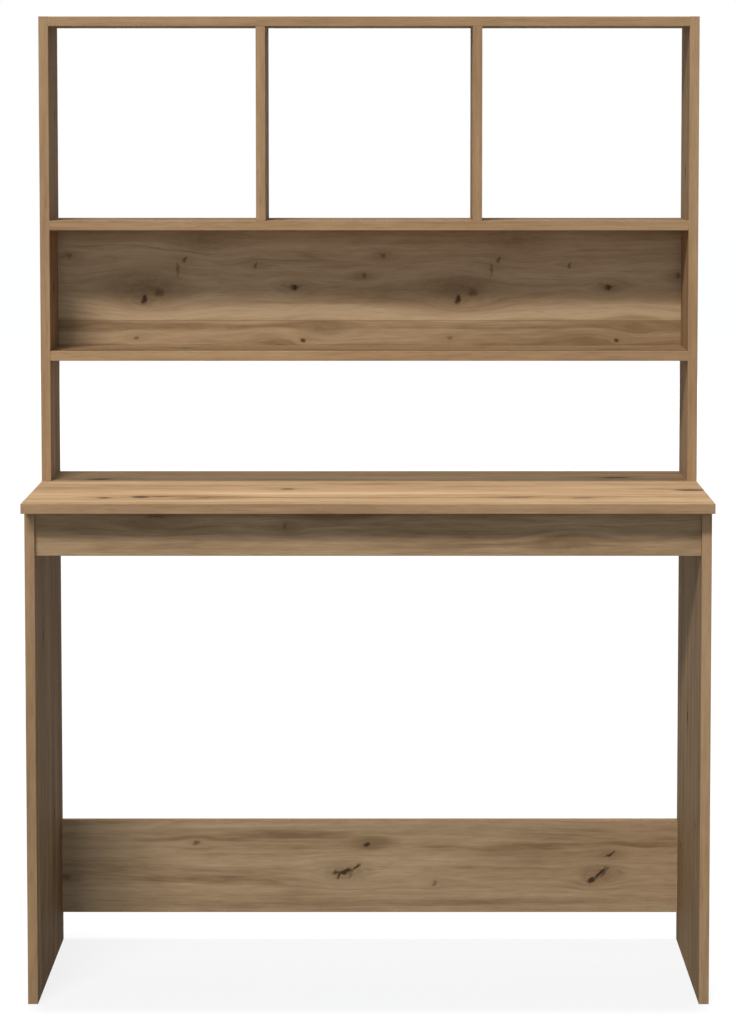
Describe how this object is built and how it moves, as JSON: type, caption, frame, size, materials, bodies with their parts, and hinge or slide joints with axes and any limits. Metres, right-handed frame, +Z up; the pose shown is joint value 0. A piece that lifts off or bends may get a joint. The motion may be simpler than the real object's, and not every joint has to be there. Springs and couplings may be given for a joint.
{
  "type": "desk with bookcase",
  "caption": "Flat-pack writing desk on full side panels, with an apron, a rear stretcher and an open shallow bookcase of cubbies and shelves standing on the back of the desktop.",
  "frame": {"origin": "on the floor, under the middle of the desk's outline", "axes": "+X to the sitter's right, +Y to the back, +Z up"},
  "size_m": [1.02, 0.45, 1.48],
  "materials": {
    "oak_board_level": "matt oak decor, grain from side to side",
    "oak_board_upright": "matt oak decor, upright grain",
    "oak_band_level": "matt oak edge band",
    "oak_band_upright": "matt oak edge band",
    "beech": "plain beech",
    "zinc_alloy": "bare zinc casting",
    "plated_steel": "zinc plated"
  },
  "bodies": {
    "root": {"desktop": "oak_board_level", "left_leg_panel": "oak_board_upright", "right_leg_panel": "oak_board_upright", "front_apron": "oak_board_level", "rear_stretcher": "oak_board_level", "hutch_left_side": "oak_board_upright", "hutch_right_side": "oak_board_upright", "hutch_top": "oak_board_level", "upper_shelf": "oak_board_level", "lower_shelf": "oak_board_level", "hutch_back_panel": "oak_board_level", "left_divider": "oak_board_upright", "right_divider": "oak_board_upright", "desktop_edge_bands": "oak_band_level", "left_leg_panel_edge_bands": "oak_band_upright", "right_leg_panel_edge_bands": "oak_band_upright", "front_apron_edge_bands": "oak_band_level", "rear_stretcher_edge_bands": "oak_band_level", "hutch_left_side_edge_bands": "oak_band_upright", "hutch_right_side_edge_bands": "oak_band_upright", "hutch_top_edge_bands": "oak_band_level", "upper_shelf_edge_bands": "oak_band_level", "lower_shelf_edge_bands": "oak_band_level", "left_divider_edge_bands": "oak_band_upright", "right_divider_edge_bands": "oak_band_upright", "wooden_dowels": "beech", "cam_locks": "zinc_alloy", "cam_bolts": "plated_steel", "connecting_screws": "plated_steel"}
  },
  "joints": []
}
